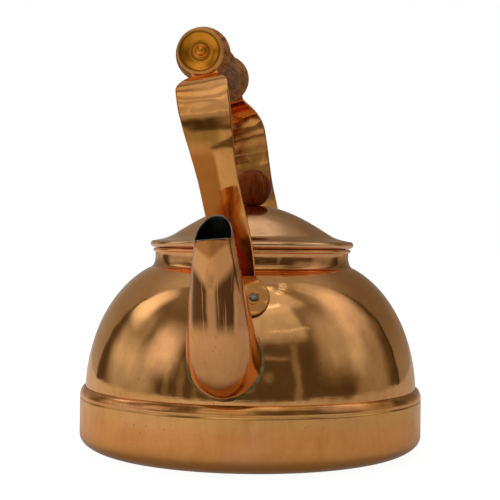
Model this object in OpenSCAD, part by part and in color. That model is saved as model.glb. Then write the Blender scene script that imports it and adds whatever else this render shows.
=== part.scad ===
// Stovetop kettle of spun copper with a turned wooden grip on two straps and a lid that lifts off.
// The origin is the middle of the bottom face, +X points along the spout and +Z is up.

/* [Pan] */
// Outer radius of the bottom pan
pan_r = 95; // [80:1:115]
// Height of the pan's lip, where the dome comes out of it
pan_h = 36; // [32:1:44]
// How far the pan's shoulder steps in to the dome
pan_step = 3; // [2:0.1:5]
// Height of the pan's rounded shoulder
pan_shoulder_h = 5.6; // [4:0.1:8]
// How far the rounded bottom corner reaches in
corner_w = 19.6; // [10:0.1:25]
// Height of the rounded bottom corner
corner_h = 10; // [6:0.1:16]
// Thickness of the copper in the pan and the dome
wall = 1.2; // [0.8:0.1:2]

/* [Dome] */
// Radius where the dome's oval side has its centre
crown_r = 36.7; // [25:0.1:45]
// Height of the dome's oval side
bowl_h = 74.6; // [60:0.1:92]
// How far the dome's widest level lies below the pan's lip
bowl_sink = 3.6; // [2:0.1:8]
// How far the dome's skirt reaches down inside the pan
skirt_h = 13; // [8:0.5:18]
// Clearance of the pan's lip on the dome
lip_fit = 0.05; // [0.02:0.01:0.1]

/* [Neck] */
// Outer radius of the neck
neck_r = 54; // [44:0.5:66]
// How far the foot of the neck flares out
neck_flare = 3.2; // [2:0.1:6]
// Height of the neck from its crease to the flange
neck_h = 8.6; // [6:0.1:14]
// Height of the curved part of the neck
neck_curve_h = 6; // [4:0.1:6]
// Radius of the rolled bead on the neck's edge
flange_bead = 1.15; // [0.8:0.05:1.6]
// How far the rolled bead stands out from the neck
flange_out = 1.2; // [0.8:0.1:2]

/* [Lid] */
// Radius of the rolled bead on the lid's rim
rim_bead = 1.9; // [1.4:0.1:2.6]
// How far the lid's rim stands out past the flange
rim_over = 1.5; // [0.5:0.1:3]
// Height of the lid's crown above its rim
crown_h = 19.9; // [14:0.1:26]
// Radius where the crown runs out into the flat border
crown_edge_r = 43.5; // [34:0.5:46]
// Height of that edge above the border's foot
crown_edge_h = 3.6; // [2:0.1:5]
// How far the crown's flat top reaches out, as a share of the edge's radius
crown_flat = 0.37; // [0.2:0.01:0.5]
// How far in from its edge the crown starts to round over
crown_round_w = 15.5; // [8:0.5:20]
// How far the crown rises over that width
crown_round_h = 9.8; // [5:0.1:12]
// Thickness of the lid's copper
lid_wall = 1; // [0.8:0.1:1.6]
// Gap between the lid's rim and the flange
lid_gap = 0.3; // [0.2:0.05:0.6]
// Depth of the collar under the lid
collar_h = 10; // [6:0.5:16]
// Thickness of the collar
collar_wall = 1; // [0.8:0.1:1.5]
// Clearance between the collar and the inside of the neck
collar_fit = 1; // [0.4:0.1:2]

/* [Knob] */
// Radius of the knob
knob_r = 10.65; // [8:0.05:14]
// Radius of the flat under the knob
knob_seat_r = 4.5; // [3.5:0.1:6]
// Radius of the knob's screw
screw_r = 1.6; // [1.2:0.1:2.2]
// How deep the screw goes into the knob
screw_depth = 11; // [7:0.5:13]
// Radius of the washer under the screw's head
washer_r = 5; // [4:0.1:7]
// Thickness of that washer
washer_t = 0.8; // [0.5:0.1:1.2]
// Clearance round the screw
screw_fit = 0.1; // [0.05:0.01:0.2]
// Height of the screw's head
screw_head_h = 1.8; // [1.2:0.1:2.4]
// Width of the slot in the screw's head
slot_w = 0.8; // [0.5:0.1:1.2]
// Depth of that slot
slot_h = 0.9; // [0.5:0.1:1.1]

/* [Spout] */
// Width of the spout's foot on the dome
foot_w = 38; // [30:0.5:44]
// Clearance between the solder round the foot and its neighbours, above and below
foot_clear = 0.8; // [0.4:0.1:2]
// How far the middle of the mouth stands out from the dome
mouth_out = 31; // [24:0.5:40]
// Height of the mouth's front lip above the flange
mouth_rise = 6.3; // [0:0.1:14]
// Outer radius of the mouth
mouth_r = 9; // [7:0.1:12]
// Slope of the cut at the back of the mouth, in degrees
mouth_cut = 52.5; // [20:0.5:60]
// How far the mouth is tipped to one side, in degrees
mouth_tip = 5; // [0:0.5:8]
// How far the belly pushes out in front of the foot
belly_out = 28; // [20:0.5:34]
// How far the belly's pull lies above the foot's lowest point
belly_rise = 6; // [2:0.5:12]
// Half width of the belly's pull as a share of the foot's width
belly_share = 0.45; // [0.4:0.01:0.55]
// How far the spout's back leaves the dome above the foot
nape_out = 8.4; // [5:0.1:12]
// Height of the nape's pull above the foot's highest point
nape_rise = 10.5; // [6:0.5:14]
// Radius of the spout half way up
throat_r = 12.5; // [10:0.1:15]
// How far the throat's front lies behind the lip
throat_back = 6; // [2:0.5:10]
// How far the throat's front lies below the lip
throat_drop = 37; // [28:0.5:44]
// How far the throat's back lies behind the mouth's back edge
nape_back = 11.5; // [8:0.5:15]
// How far the throat's back lies below the mouth's back edge
nape_drop = 19.5; // [14:0.5:26]
// Thickness of the spout's copper
spout_wall = 1; // [0.8:0.1:1.4]
// Width of the solder fillet round the foot
solder_w = 1.8; // [1:0.1:2.2]

/* [Grip] */
// Length of the wooden grip
grip_l = 122; // [98:1:150]
// Height of the grip's axis
grip_z = 214; // [200:1:240]
// Radius of the beads at the grip's ends
grip_bead_r = 14.4; // [12:0.1:18]
// Radius of the grip between its beads
grip_waist_r = 12; // [10:0.1:15]
// How far the grip's middle stands to the side of the kettle's middle plane
grip_shift = 22.2; // [0:0.1:26]
// How far the grip is turned, seen from above, in degrees
grip_turn = 3.5; // [0:0.1:6]
// Radius of the rod through the grip
rod_r = 2; // [1.5:0.1:3]
// Clearance round the rod
rod_fit = 0.15; // [0.1:0.05:0.3]
// Outer radius of the cup washers
cup_r = 12.2; // [9:0.1:14]
// Depth of the cup washers
cup_h = 2.6; // [1.6:0.1:4]
// Thickness of the cup washers
cup_t = 0.9; // [0.6:0.1:1.2]
// Radius of the dome nuts
nut_r = 3.4; // [3:0.1:5]
// Height of the straight part of the dome nuts
nut_h = 0.9; // [0.6:0.1:2]
// Height of their domes
nut_dome_h = 2.2; // [1:0.1:3]
// Length of the turned bead at each end of the grip
bead_l = 13; // [8:0.5:18]
// Depth of the groove beside the bead
groove_d = 0.6; // [0.2:0.1:1.5]
// How far the grip swells in its middle
grip_swell = 0.5; // [0:0.1:2]

/* [Straps] */
// Thickness of the strap
strap_t = 1.6; // [1.2:0.1:2.2]
// Width of the strap at the fold above its foot
fold_w = 23; // [18:0.1:28]
// Width of the strap half way up
strap_w = 20.4; // [16:0.1:26]
// Width of the strap at its shoulder
shoulder_w = 26.8; // [22:0.1:34]
// Width of the tongue that joins the shoulder to the eye
tongue_w = 14.2; // [10:0.1:18]
// Radius of the eye that the rod goes through
eye_r = 11.6; // [9:0.1:13]
// How far the strap swings out past the grip's end
crook_out = 20; // [14:0.5:28]
// Height of the crook below the grip's axis
crook_h = 34; // [26:0.5:44]
// Length of the straight pull below the crook
crook_pull = 30; // [20:1:40]
// How far the crook carries on upwards before it turns in
crook_over = 17; // [12:0.5:22]
// How far the crook's top stays out, as a share of crook_out
crook_share = 0.6; // [0.4:0.05:0.8]
// How far the strap springs out above its fold
fold_out = 6.5; // [4:0.5:10]
// Height over which it springs out
fold_rise = 22; // [16:1:30]
// Where the strap starts to widen towards its shoulder, as a share of its height
swell_at = 0.6; // [0.4:0.01:0.8]
// Over how much of that height it widens
swell_run = 0.5; // [0.3:0.01:0.6]
// How far the strap's tongue lies below the cup washer
tongue_drop = 0.3; // [0.3:0.1:2]
// How far the fold of the foot lies below the neck's crease
fold_drop = 3; // [2:0.1:6]
// Height above the fold where the strap starts to lean to the side
lean_rise = 16; // [10:0.5:30]
// How far the foot's rivets lie below the fold
rivet_drop = 11; // [9.5:0.1:14]
// Distance between the two rivets of a foot
rivet_gap = 24; // [18:0.5:28]
// Radius of the foot's rounded corners
foot_corner = 8.2; // [6:0.1:9]
// Clearance between the foot and the dome
foot_fit = 0.05; // [0.02:0.01:0.1]
// Radius of the rivet's shank
rivet_r = 1.6; // [1.2:0.1:2]
// Radius of the rivet's head
rivet_head_r = 2.35; // [2:0.05:3]
// Radius of the dimple round the rivet's head
dimple_r = 3; // [2.6:0.1:3.6]
// Clearance round the rivet's shank
rivet_fit = 0.05; // [0.02:0.01:0.1]
// Height of the rivet's head
rivet_head_h = 0.7; // [0.4:0.1:1.2]
// How far the rivet's burr inside the dome stands out past the shank
burr_out = 1.2; // [0.8:0.1:2]
// Height of that burr
burr_h = 1; // [0.6:0.1:1.6]

/* [Hidden] */
$fn = 96;

copper = [0.80, 0.52, 0.34];
wood = [0.38, 0.25, 0.17];
steel = [0.42, 0.44, 0.46];
solder = [0.50, 0.52, 0.44];

// Heights and radii of the spun body, from the pan up
dome_r = pan_r - pan_step;
bowl_run = dome_r - crown_r;
bowl_z = pan_h - bowl_sink;
crease_r = neck_r + neck_flare;
crease_z = bowl_z + bowl_h * sqrt(1 - pow((crease_r - crown_r) / bowl_run, 2));
flange_z = crease_z + neck_h + flange_bead;
flange_r = neck_r + flange_out;
arc_steps = 24;

// Heights and radii of the lid
rim_r = flange_r + rim_over;
rim_z = flange_z + flange_bead + lid_gap + rim_bead;
lid_top_z = rim_z + rim_bead + crown_h;
collar_r = neck_r - wall - collar_fit;
knob_z = lid_top_z + sqrt(pow(knob_r, 2) - pow(knob_seat_r, 2));
knob_groove = 0.35;
knob_gap = 0.05;
bore_spare = 1.2;
crown_lift = 0.2;
border_pull = [2.5, -1.6];
border_lift = 0.9;
collar_gap = 0.05;
washer_gap = 0.3;
seat_gap = 0.02;

// Straps: the fold of the foot, the crook and the eye
fold_z = crease_z - fold_drop;
rivet_z = fold_z - rivet_drop;
foot_low_z = rivet_z - foot_corner;
lean_z = fold_z + lean_rise;
lean_soft = 0.12;
eye_x = grip_l / 2 + strap_t / 2;
crook_z = grip_z - crook_h;
tongue_z = grip_z - max(eye_r, cup_r) - strap_t / 2 - tongue_drop;
tongue_lap = 0.2;
nut_ledge = 0.7;
rod_end = 2;
taper_at = [1.38, 1.05];
taper_run = [0.45, 0.75];
head_sink = 0.3;
head_low = 0.1;
burr_gap = 0.15;
strap_steps = 22;

// Spout: the foot fills the dome between the pan's lip and the foot of the front strap
spout_low = pan_h + foot_clear + solder_w;
spout_high = foot_low_z - foot_clear - solder_w;
spout_foot_z = (spout_low + spout_high) / 2;
spout_foot_h = spout_high - spout_low;
mouth_x = dome_r + mouth_out;
mouth_z = flange_z + mouth_rise;
hole_margin = 1;
solder_lift = 0.07;
spout_sides = 64;
spout_rings = 20;

// Radius of the dome's outside at height z, grown by the distance off
function dome_at(z, off = 0) =
    z <= bowl_z ? dome_r + off
                : crown_r + (bowl_run + off) * sqrt(max(0, 1 - pow((z - bowl_z) / (bowl_h + off), 2)));
// Elevation of the dome's outward normal at height z, in degrees
function dome_tilt(z) =
    let (s = (z - bowl_z) / bowl_h) atan2(s / bowl_h, sqrt(1 - s * s) / bowl_run);
function bezier(a, b, c, d, t) =
    pow(1 - t, 3) * a + 3 * pow(1 - t, 2) * t * b + 3 * (1 - t) * t * t * c + t * t * t * d;
function oval(cx, cz, rx, rz, from, to, n = arc_steps) =
    [for (i = [0:n]) let (a = from + (to - from) * i / n) [cx + rx * cos(a), cz + rz * sin(a)]];
function reversed(list) = [for (i = [len(list) - 1:-1:0]) list[i]];
function smooth(t) = let (u = min(1, max(0, t))) u * u * (3 - 2 * u);

// ---- spun body ----

module base_pan() {
    lip_r = dome_r + lip_fit;
    step = pan_r - lip_r;
    shoulder_z = pan_h - pan_shoulder_h;
    flat_r = pan_r - corner_w;
    color(copper) rotate_extrude() polygon(concat(
        [[0, 0]],
        oval(flat_r, corner_h, corner_w, corner_h, -90, 0),
        oval(lip_r, shoulder_z, step, pan_shoulder_h, 0, 90, 12),
        oval(lip_r, shoulder_z, step - wall, pan_shoulder_h - wall, 90, 0, 12),
        oval(flat_r, corner_h, corner_w - wall, corner_h - wall, 0, -90),
        [[0, wall]]
    ));
}

// Outline of one face of the dome and neck, moved inwards by the distance off
function body_line(off) = concat(
    [[dome_r - off, pan_h - skirt_h]],
    oval(crown_r, bowl_z, bowl_run - off, bowl_h - off, 0,
         acos((crease_r - off - crown_r) / (bowl_run - off))),
    [for (i = [1:10]) let (a = 90 - 9 * i)
        [neck_r - off + neck_flare * (1 - cos(a)),
         crease_z - off * a / 90 + neck_curve_h * (1 - sin(a))]],
    [[neck_r - off, flange_z + flange_bead / 2]]
);

module body_shell() {
    hole_r = min(foot_w, spout_foot_h) / 2 - spout_wall - hole_margin;
    color(copper) difference() {
        union() {
            rotate_extrude() polygon(concat(body_line(0), reversed(body_line(wall))));
            rotate_extrude() translate([flange_r - flange_bead, flange_z]) circle(flange_bead);
        }
        translate([crown_r, 0, spout_foot_z]) rotate([0, 90, 0]) cylinder(r = hole_r, h = pan_r);
        for (end = [0, 1], side = [-1, 1])
            at_rivet(end, side) cylinder(r = rivet_r + rivet_fit, h = 4 * wall, center = true);
    }
}

module seam_solder() {
    inset = 2 * lip_fit;
    color(solder) rotate_extrude() polygon([
        [dome_r + inset, pan_h - skirt_h + inset],
        [pan_r - wall - inset, pan_h - skirt_h + inset],
        [pan_r - wall - inset, pan_h - pan_shoulder_h - inset],
        [dome_r + inset, pan_h - pan_shoulder_h - inset]
    ]);
}

// ---- spout ----

// A point round the foot, on the dome. Angle 0 is the bottom of the foot, and inset narrows it.
function foot_point(a, inset) =
    let (y = (foot_w / 2 - inset) * sin(a), z = spout_foot_z - (spout_foot_h / 2 - inset) * cos(a))
    [sqrt(pow(dome_at(z), 2) - y * y), y, z];
// A point round the mouth: level in front, cut up to a point behind, and tipped a little to one side
function mouth_point(a, inset) =
    let (r = mouth_r - inset)
    [mouth_x + r * cos(a), r * sin(a),
     mouth_z + r * sin(a) * tan(mouth_tip) + max(0, -r * cos(a)) * tan(mouth_cut)];
// Rings that pull the surface out into the belly, and up into the throat
function belly_point(a, inset) =
    let (low = foot_point(0, 0), high = foot_point(180, 0), c = (1 + cos(a)) / 2,
         front = low + [belly_out - inset, 0, belly_rise + inset],
         back = high + [nape_out + inset, 0, nape_rise - inset])
    [back[0] + c * (front[0] - back[0]), (belly_share * foot_w - inset) * sin(a),
     back[2] + c * (front[2] - back[2])];
function throat_point(a, inset) =
    let (front = mouth_point(0, 0) + [-throat_back - inset, 0, inset - throat_drop],
         back = mouth_point(180, 0) + [inset - nape_back, 0, -nape_drop - inset], c = (1 + cos(a)) / 2)
    [back[0] + c * (front[0] - back[0]), (throat_r - inset) * sin(a),
     back[2] + c * (front[2] - back[2])];
function spout_point(a, t, inset) =
    bezier(foot_point(a, inset), belly_point(a, inset), throat_point(a, inset), mouth_point(a, inset), t);

module spout() {
    n = spout_sides;
    rows = spout_rings + 1;
    outer = [for (j = [0:spout_rings], i = [0:n - 1]) spout_point(360 * i / n, j / spout_rings, 0)];
    inner = [for (j = [0:spout_rings], i = [0:n - 1])
        spout_point(360 * i / n, j / spout_rings, spout_wall)];
    last = n * spout_rings;
    deep = n * rows;
    side = [for (j = [0:spout_rings - 1], i = [0:n - 1])
        let (a = j * n + i, b = j * n + (i + 1) % n) each [[a, a + n, b], [b, a + n, b + n]]];
    color(copper) polyhedron(concat(outer, inner), concat(
        side,
        [for (f = side) [f[0] + deep, f[2] + deep, f[1] + deep]],
        [for (i = [0:n - 1]) let (k = (i + 1) % n) each [[i, k, i + deep], [k, k + deep, i + deep]]],
        [for (i = [0:n - 1]) let (a = last + i, b = last + (i + 1) % n)
            each [[a, a + deep, b], [b, a + deep, b + deep]]]
    ));
}

module spout_solder() {
    n = spout_sides;
    ring = [for (i = [0:n - 1]) let (a = 360 * i / n)
        each [foot_point(a, 0), foot_point(a, -solder_w), spout_point(a, solder_lift, 0)]];
    color(solder) polyhedron(ring, [for (i = [0:n - 1], k = [0:2])
        let (a = 3 * i + k, b = 3 * i + (k + 1) % 3, c = 3 * ((i + 1) % n) + k,
             d = 3 * ((i + 1) % n) + (k + 1) % 3) each [[a, c, b], [b, c, d]]]);
}

// ---- straps ----

// The strap's middle line from the fold up to the crook's shoulder, then over to the tongue
function strap_line(t) =
    let (fold = [dome_at(fold_z) + strap_t / 2, fold_z], top = [eye_x + crook_out, crook_z],
         end = [eye_x - tongue_lap, tongue_z])
    t < 1 ? bezier(fold, fold + [fold_out, fold_rise], top - [0, crook_pull], top, t)
          : bezier(top, top + [0, crook_over], end + [crook_share * crook_out, strap_t / 3], end, t - 1);
// Half the strap's width at t: narrowing above the fold, widening to the shoulder, then down to the tongue
function strap_half(t, end) =
    let (low = fold_w + (strap_w - fold_w) * smooth(2 * t),
         wide = low + (shoulder_w - strap_w) * smooth((t - swell_at) / swell_run),
         taper = smooth((t - taper_at[end]) / taper_run[end]))
    (wide + (tongue_w - wide) * taper) / 2;
// Sideways lean: nothing at the foot, then straight on up to the eye
function lean_part(z) =
    let (u = (z - lean_z) / (grip_z - lean_z))
    u < -lean_soft ? 0 : u > lean_soft ? u : pow(u + lean_soft, 2) / (4 * lean_soft);
function lean_tilt(z, shift) =
    let (u = (z - lean_z) / (grip_z - lean_z))
    atan(shift / (grip_z - lean_z)) * min(1, max(0, (u + lean_soft) / (2 * lean_soft)));

// The four corners of the strap's section at t. shift is how far its eye stands to the side.
function strap_section(t, shift, end) =
    let (p = strap_line(t), q = strap_line(t + 0.002) - strap_line(t - 0.002), dir = q / norm(q),
         tilt = lean_tilt(p[1], shift), w = strap_half(t, end), h = strap_t / 2)
    [for (c = [[1, 1], [1, -1], [-1, -1], [-1, 1]])
        let (across = c[0] * w, up = -dir[0] * c[1] * h)
        [p[0] + dir[1] * c[1] * h,
         -shift * lean_part(p[1]) + across * cos(tilt) - up * sin(tilt),
         p[1] + across * sin(tilt) + up * cos(tilt)]];

// Outline of the foot as seen from the front: rounded lower corners round the rivets, narrowing to the fold
module foot_outline() {
    x = rivet_gap / 2;
    half = fold_w / 2;
    polygon(concat(
        [[half, fold_z + 1]],
        [for (a = [35:-12.5:-90]) [x + foot_corner * cos(a), rivet_z + foot_corner * sin(a)]],
        [for (a = [-90:-12.5:-215]) [-x + foot_corner * cos(a), rivet_z + foot_corner * sin(a)]],
        [[-half, fold_z + 1]]
    ));
}

// Puts its children on a rivet's axis, with the dome's outer face at 0. end 0 is the spout side.
module at_rivet(end, side) {
    r = dome_at(rivet_z);
    rotate([0, 0, 180 * end + side * asin(rivet_gap / 2 / r)]) translate([r, 0, rivet_z])
        rotate([0, 90 - dome_tilt(rivet_z), 0]) children();
}

module strap(end) {
    shift = grip_shift - (end == 0 ? 1 : -1) * grip_l / 2 * sin(grip_turn);
    count = 2 * strap_steps;
    points = [for (i = [0:count]) each strap_section(i / strap_steps, shift, end)];
    last = 4 * count;
    neck = (grip_z - tongue_z) / cos(atan(shift / (grip_z - lean_z))) + strap_t / 2;
    foot_top = fold_z + 1;
    foot_steps = 10;
    // The foot's own steps down the dome, a little past its outline at both ends
    levels = [for (i = [0:foot_steps])
        foot_low_z - 2 + (foot_top - foot_low_z + 4) * i / foot_steps];
    color(copper) difference() {
        union() {
            mirror([end, 0, 0]) polyhedron(points, concat(
                [[0, 1, 2, 3], [last + 3, last + 2, last + 1, last]],
                [for (i = [0:count - 1], k = [0:3])
                    let (a = 4 * i + k, b = 4 * i + (k + 1) % 4)
                        each [[a, a + 4, b], [b, a + 4, b + 4]]]
            ));
            mirror([end, 0, 0]) intersection() {
                rotate_extrude() polygon(concat(
                    [for (z = levels) [dome_at(z, foot_fit), z]],
                    [for (z = reversed(levels)) [dome_at(z, foot_fit + strap_t), z]]
                ));
                translate([crown_r, 0, 0]) rotate([90, 0, 90]) linear_extrude(pan_r) foot_outline();
            }
            at_grip_end(end, shift) linear_extrude(strap_t) {
                circle(eye_r);
                translate([-tongue_w / 2, -neck]) square([tongue_w, neck]);
            }
        }
        at_grip_end(end, shift) cylinder(r = rod_r + rod_fit, h = 6 * strap_t, center = true);
        for (side = [-1, 1]) at_rivet(end, side) {
            cylinder(r = rivet_r + rivet_fit, h = 6 * strap_t, center = true);
            translate([0, 0, strap_t - head_sink])
                cylinder(r1 = rivet_head_r, r2 = rivet_head_r + (dimple_r - rivet_head_r) / head_sink, h = 1);
        }
    }
}

module rivet(end, side) {
    face = strap_t - head_sink;
    burr_r = rivet_r + burr_out;
    color(steel) at_rivet(end, side) rotate_extrude() polygon(concat(
        [[0, -wall - burr_h], [0.7 * burr_r, -wall - burr_h], [burr_r, -wall - burr_h / 2],
         [burr_r, -wall - burr_gap], [rivet_r, -wall - burr_gap], [rivet_r, face],
         [rivet_head_r, face]],
        oval(0, face + head_sink - head_low, rivet_head_r, rivet_head_h, 0, 90, 8)
    ));
}

// ---- grip ----

// Puts its children on the grip's axis with +Z outwards from the eye's inner face, and +Y up along the strap
module at_grip_end(end, shift = 0) {
    translate([0, -grip_shift, grip_z]) rotate([0, 0, grip_turn + 180 * end])
        translate([grip_l / 2, 0, 0]) rotate([(end == 0 ? 1 : -1) * atan(shift / (grip_z - lean_z)), 0, 0])
            rotate([90, 0, 90]) children();
}

// Half of the turned outline, from the middle of the grip to one end
function grip_half_line() =
    let (h = grip_l / 2, g = h - bead_l, ring = bead_l / 4, high = bead_l * 5 / 13)
    concat(
        [for (i = [0:10]) let (u = i / 10)
            [grip_waist_r + grip_swell * cos(90 * u), (g - 2 * ring - groove_d) * u]],
        [[grip_waist_r - groove_d, g - 2 * ring], [grip_waist_r - groove_d, g - 2 * ring + groove_d],
         [grip_waist_r + groove_d, g - 2 * ring + 2 * groove_d], [grip_waist_r + groove_d, g - ring]],
        oval(grip_waist_r + groove_d / 2, g - ring / 2, groove_d * 2, ring / 2, 200, 90, 6),
        oval(grip_bead_r - ring, g + high, ring, high, -70, 60, 12),
        [[grip_bead_r - ring, h]]
    );

module grip() {
    half = grip_half_line();
    color(wood) translate([0, -grip_shift, grip_z]) rotate([0, 0, grip_turn]) rotate([0, 90, 0])
        rotate_extrude() polygon(concat(
            [[rod_r + rod_fit, -grip_l / 2]],
            [for (p = reversed(half)) [p[0], -p[1]]],
            [for (i = [1:len(half) - 1]) half[i]],
            [[rod_r + rod_fit, grip_l / 2]]
        ));
}

module grip_rod() {
    reach = grip_l / 2 + strap_t + cup_t + rod_end;
    color(steel) translate([0, -grip_shift, grip_z]) rotate([0, 0, grip_turn]) rotate([0, 90, 0])
        cylinder(r = rod_r, h = 2 * reach, center = true);
}

module cup_washer(end) {
    back = nut_r + 2;
    lip = cup_r - 2 * cup_t;
    round = cup_t / 3;
    color(copper) at_grip_end(end) translate([0, 0, strap_t + seat_gap]) rotate_extrude() polygon([
        [rod_r + rod_fit, 0], [back, 0], [lip, cup_h - cup_t], [cup_r - cup_t, cup_h - cup_t],
        [cup_r - cup_t, 2 * round], [cup_r, 2 * round], [cup_r, cup_h - round], [cup_r - round, cup_h],
        [lip - round, cup_h], [back - round, cup_t], [rod_r + rod_fit, cup_t]
    ]);
}

module dome_nut(end) {
    face = strap_t + cup_t + 2 * seat_gap;
    color(steel) at_grip_end(end) translate([0, 0, face]) difference() {
        rotate_extrude() polygon(concat(
            [[0, 0], [nut_r, 0], [nut_r, nut_h]],
            oval(0, nut_h, nut_r - nut_ledge, nut_dome_h, 0, 90, 10)
        ));
        translate([0, 0, -1]) cylinder(r = rod_r + seat_gap, h = 1 + rod_end + seat_gap);
    }
}

// ---- lid ----

// Outline of the lid's top face from the middle to the rim, lowered by the distance off
function lid_line(off) =
    let (top = lid_top_z - off, low = rim_z + rim_bead - off, edge = [crown_edge_r, low + crown_edge_h],
         out = rim_r - rim_bead)
    concat(
        [for (i = [0:20]) bezier([0, top], [crown_flat * crown_edge_r, top + crown_lift],
            edge + [-crown_round_w, crown_round_h], edge, i / 20)],
        [for (i = [1:8]) bezier(edge, edge + border_pull, [(edge[0] + out) / 2, low + border_lift],
            [out, low], i / 8)]
    );

module lid_shell() {
    color(copper) difference() {
        union() {
            rotate_extrude() polygon(concat(lid_line(0), reversed(lid_line(lid_wall))));
            rotate_extrude() translate([rim_r - rim_bead, rim_z]) circle(rim_bead);
        }
        translate([0, 0, lid_top_z]) cylinder(r = screw_r + screw_fit, h = 8 * lid_wall, center = true);
    }
}

module lid_collar() {
    top = rim_z + rim_bead - lid_wall - collar_gap;
    color(copper) rotate_extrude() translate([collar_r - collar_wall, top - collar_h])
        square([collar_wall, collar_h]);
}

module collar_solder() {
    r = collar_r - collar_wall - seat_gap;
    top = rim_z + rim_bead - lid_wall - collar_gap;
    leg = 1.6 * collar_wall;
    color(solder) rotate_extrude() polygon([[r, top], [r - leg, top], [r, top - leg]]);
}

module knob() {
    flat = asin(knob_seat_r / knob_r);
    ring = [for (a = [-90 + flat:5:90])
        let (cut = (a > 54 && a < 60) || (a > 68 && a < 73) ? knob_groove : 0)
            [(knob_r - cut) * cos(a), (knob_r - cut) * sin(a)]];
    color(wood) translate([0, 0, knob_z + knob_gap]) difference() {
        rotate_extrude() polygon(concat([[0, ring[0][1]]], ring, [[0, knob_r]]));
        translate([0, 0, -knob_r]) cylinder(r = screw_r + screw_fit / 2, h = screw_depth + bore_spare);
    }
}

module knob_washer() {
    color(steel) translate([0, 0, lid_top_z - lid_wall - washer_gap - washer_t]) difference() {
        cylinder(r = washer_r, h = washer_t);
        translate([0, 0, -1]) cylinder(r = screw_r + screw_fit, h = washer_t + 2);
    }
}

module knob_screw() {
    seat = lid_top_z - lid_wall - washer_gap - washer_t - seat_gap;
    head_r = 2 * screw_r;
    sunk = 0.5;
    color(steel) difference() {
        union() {
            translate([0, 0, seat - screw_head_h]) cylinder(r1 = 0.8 * head_r, r2 = head_r, h = screw_head_h);
            translate([0, 0, seat - sunk])
                cylinder(r = screw_r, h = sunk + washer_t + washer_gap + lid_wall + screw_depth - 1);
        }
        translate([-head_r, -slot_w / 2, seat - screw_head_h - 1])
            cube([2 * head_r, slot_w, 1 + slot_h]);
    }
}

base_pan();
body_shell();
seam_solder();
spout();
spout_solder();
strap(0);  // front_strap
strap(1);  // rear_strap
rivet(0, 1);  // rivet_front_right
rivet(0, -1);  // rivet_front_left
rivet(1, -1);  // rivet_rear_right
rivet(1, 1);  // rivet_rear_left
grip();
grip_rod();
cup_washer(0);  // front_cup_washer
cup_washer(1);  // rear_cup_washer
dome_nut(0);  // front_nut
dome_nut(1);  // rear_nut
lid_shell();
lid_collar();
collar_solder();
knob();
knob_screw();
knob_washer();
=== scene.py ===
import math

import bmesh
import bpy
import numpy as np
from mathutils import Matrix, Vector


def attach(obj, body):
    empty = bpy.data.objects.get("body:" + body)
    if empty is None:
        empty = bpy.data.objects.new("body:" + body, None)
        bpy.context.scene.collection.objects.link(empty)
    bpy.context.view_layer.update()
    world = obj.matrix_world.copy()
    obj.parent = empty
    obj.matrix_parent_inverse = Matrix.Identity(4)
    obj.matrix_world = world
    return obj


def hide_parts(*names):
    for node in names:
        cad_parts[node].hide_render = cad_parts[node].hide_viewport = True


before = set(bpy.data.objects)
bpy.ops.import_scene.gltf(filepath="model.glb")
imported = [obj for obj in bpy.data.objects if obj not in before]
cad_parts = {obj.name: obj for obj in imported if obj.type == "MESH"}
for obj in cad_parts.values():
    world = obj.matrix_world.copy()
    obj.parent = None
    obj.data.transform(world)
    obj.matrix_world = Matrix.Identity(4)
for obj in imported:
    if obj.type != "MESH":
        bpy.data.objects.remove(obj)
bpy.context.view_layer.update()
mm = 0.001  # sizes below are in millimetres, and meshes are made in metres
print("frame loaded")


def linked(name, data):
    # an object made from this data, put in the scene
    thing = bpy.data.objects.new(name, data)
    bpy.context.scene.collection.objects.link(thing)
    return thing


cameraSetup = {
    "lens": 93.15,
    "sensor": 36,
    "clip": (0.05, 30),
    "distance": 726.1,
    "height": 119.0,
    "round": 8.5,  # degrees from the spout's axis
    "pitch": 0.0102,  # these three are in radians
    "pan": -0.0015,
    "roll": -0.0109,
}


def makeCamera(c):
    # it stands on a circle round the kettle and looks inwards, turned by pan, then pitch, then roll
    around = math.radians(c["round"])
    place = Vector((c["distance"] * math.cos(around), c["distance"] * math.sin(around), c["height"])) * mm
    across = Vector((-math.sin(around), math.cos(around), 0))
    ahead = Vector((-math.cos(around), -math.sin(around), 0))
    forward = (across * math.sin(c["pan"]) + ahead * math.cos(c["pan"])) * math.cos(c["pitch"])
    forward = forward - Vector((0, 0, math.sin(c["pitch"])))
    right = across * math.cos(c["pan"]) - ahead * math.sin(c["pan"])
    up = right.cross(forward)
    rolledRight = right * math.cos(c["roll"]) - up * math.sin(c["roll"])
    rolledUp = right * math.sin(c["roll"]) + up * math.cos(c["roll"])
    data = bpy.data.cameras.new("camera")
    data.lens = c["lens"]
    data.sensor_width = c["sensor"]
    data.clip_start, data.clip_end = c["clip"]
    camera = linked("camera", data)
    turn = Matrix((rolledRight, rolledUp, -forward)).transposed()
    camera.matrix_world = Matrix.Translation(place) @ turn.to_4x4()
    bpy.context.scene.camera = camera


makeCamera(cameraSetup)


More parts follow.
